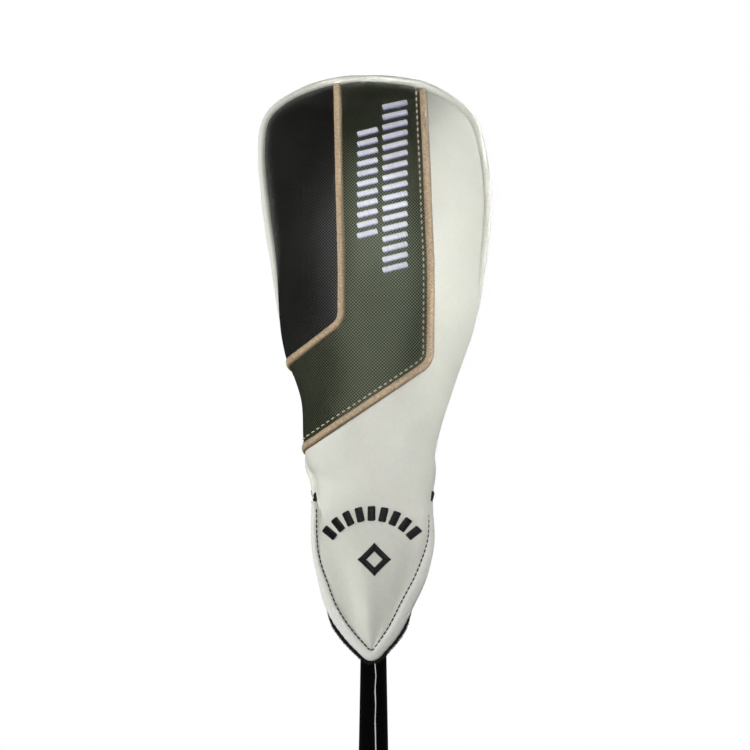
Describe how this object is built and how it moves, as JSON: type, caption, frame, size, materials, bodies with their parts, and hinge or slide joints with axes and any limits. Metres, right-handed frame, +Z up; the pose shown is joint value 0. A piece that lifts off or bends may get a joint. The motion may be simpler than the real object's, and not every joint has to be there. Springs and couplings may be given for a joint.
{
  "type": "fairway wood golf club with head cover",
  "caption": "Right-handed fairway wood with an adjustable hosel and a sole weight, wearing a padded three-colour head cover with a pointed tongue.",
  "frame": {"origin": "centre of the butt end of the grip", "axes": "+Z up the shaft axis from the grip to the head; +X the way the face looks; the toe of the head points to +Y"},
  "size_m": [0.1194, 0.1313, 1.132],
  "materials": {
    "grip": "matt, moulded pattern",
    "tape": "adhesive tape",
    "shaft": "gloss black paint over carbon fibre",
    "ferrule": "polished",
    "adapter": "bead blasted, clear anodised",
    "index_ring": "dark anodised",
    "hosel": "satin",
    "screw": "black zinc",
    "washer": "plain",
    "body": "satin dark plated",
    "face": "brushed with fine grooves",
    "crown": "gloss black lacquer over carbon fibre",
    "sole": "lacquered carbon fibre weave",
    "ballast": "plain, dense alloy",
    "bars": "plain",
    "weight": "satin",
    "weight_screw": "black zinc",
    "white_cloth": "fine grained coated cloth",
    "green_cloth": "embossed coated cloth",
    "black_cloth": "embossed coated cloth",
    "thread_tan": "satin stitch",
    "piping": "smooth coated cord",
    "foam": "open cell foam",
    "plush": "plush pile",
    "knit": "ribbed knit",
    "elastic": "woven elastic",
    "thread_black": "satin stitch",
    "thread_white": "satin stitch"
  },
  "bodies": {
    "shaft": {"grip": "grip", "grip_tape": "tape", "shaft": "shaft", "ferrule": "ferrule", "adapter_sleeve": "adapter"},
    "ring": {"index_ring": "index_ring"},
    "head": {"hosel_tube": "hosel", "screw_washer": "washer", "head_body": "body", "face_cup": "face", "crown_panel": "crown", "sole_panel": "sole", "inertia_weight": "ballast", "stiffening_bars": "bars", "weight_port": "bars"},
    "hosel_screw": {"hosel_screw": "screw"},
    "sole_weight": {"sole_weight": "weight"},
    "weight_screw": {"weight_screw": "weight_screw"},
    "cover": {"cover_white_panel": "white_cloth", "cover_green_panel": "green_cloth", "cover_black_panel": "black_cloth", "cover_back_panel": "white_cloth", "inner_stripe": "thread_tan", "outer_stripe": "thread_tan", "seam_piping": "piping", "foam_padding": "foam", "plush_lining": "plush", "neck_sleeve": "knit", "elastic_band": "elastic", "tongue_binding": "piping", "tongue_lining": "plush", "tongue_emblem": "thread_black", "panel_emblem": "thread_white"}
  },
  "joints": [
    {"name": "head_lift", "type": "slide", "parent": "shaft", "child": "head", "axis": [0, 0, 1], "range_m": [0, 0.04]},
    {"name": "ring_lift", "type": "slide", "parent": "shaft", "child": "ring", "axis": [0, 0, 1], "range_m": [0, 0.008]},
    {"name": "hosel_screw_turn", "type": "hinge", "parent": "head", "child": "hosel_screw", "pos_m": [0, 0, 1.064], "axis": [0, 0, 1], "range_deg": [0, 3600]},
    {"name": "weight_lift", "type": "slide", "parent": "head", "child": "sole_weight", "axis": [0, -0.5446, 0.8387], "range_m": [0, 0.015]},
    {"name": "weight_screw_turn", "type": "hinge", "parent": "sole_weight", "child": "weight_screw", "pos_m": [-0.0358, 0.02885, 1.09158], "axis": [0, -0.5446, 0.8387], "continuous": true},
    {"name": "cover_slide", "type": "slide", "parent": "head", "child": "cover", "axis": [0, 0, 1], "range_m": [0, 0.33], "deforming": ["cover_white_panel", "cover_green_panel", "cover_black_panel", "cover_back_panel", "inner_stripe", "outer_stripe", "seam_piping", "foam_padding", "plush_lining", "neck_sleeve", "elastic_band", "tongue_binding", "tongue_lining", "tongue_emblem", "panel_emblem"]}
  ],
  "couplings": [
    {"joint": "ring_lift", "follows": "head_lift", "ratio": 0.2}
  ]
}
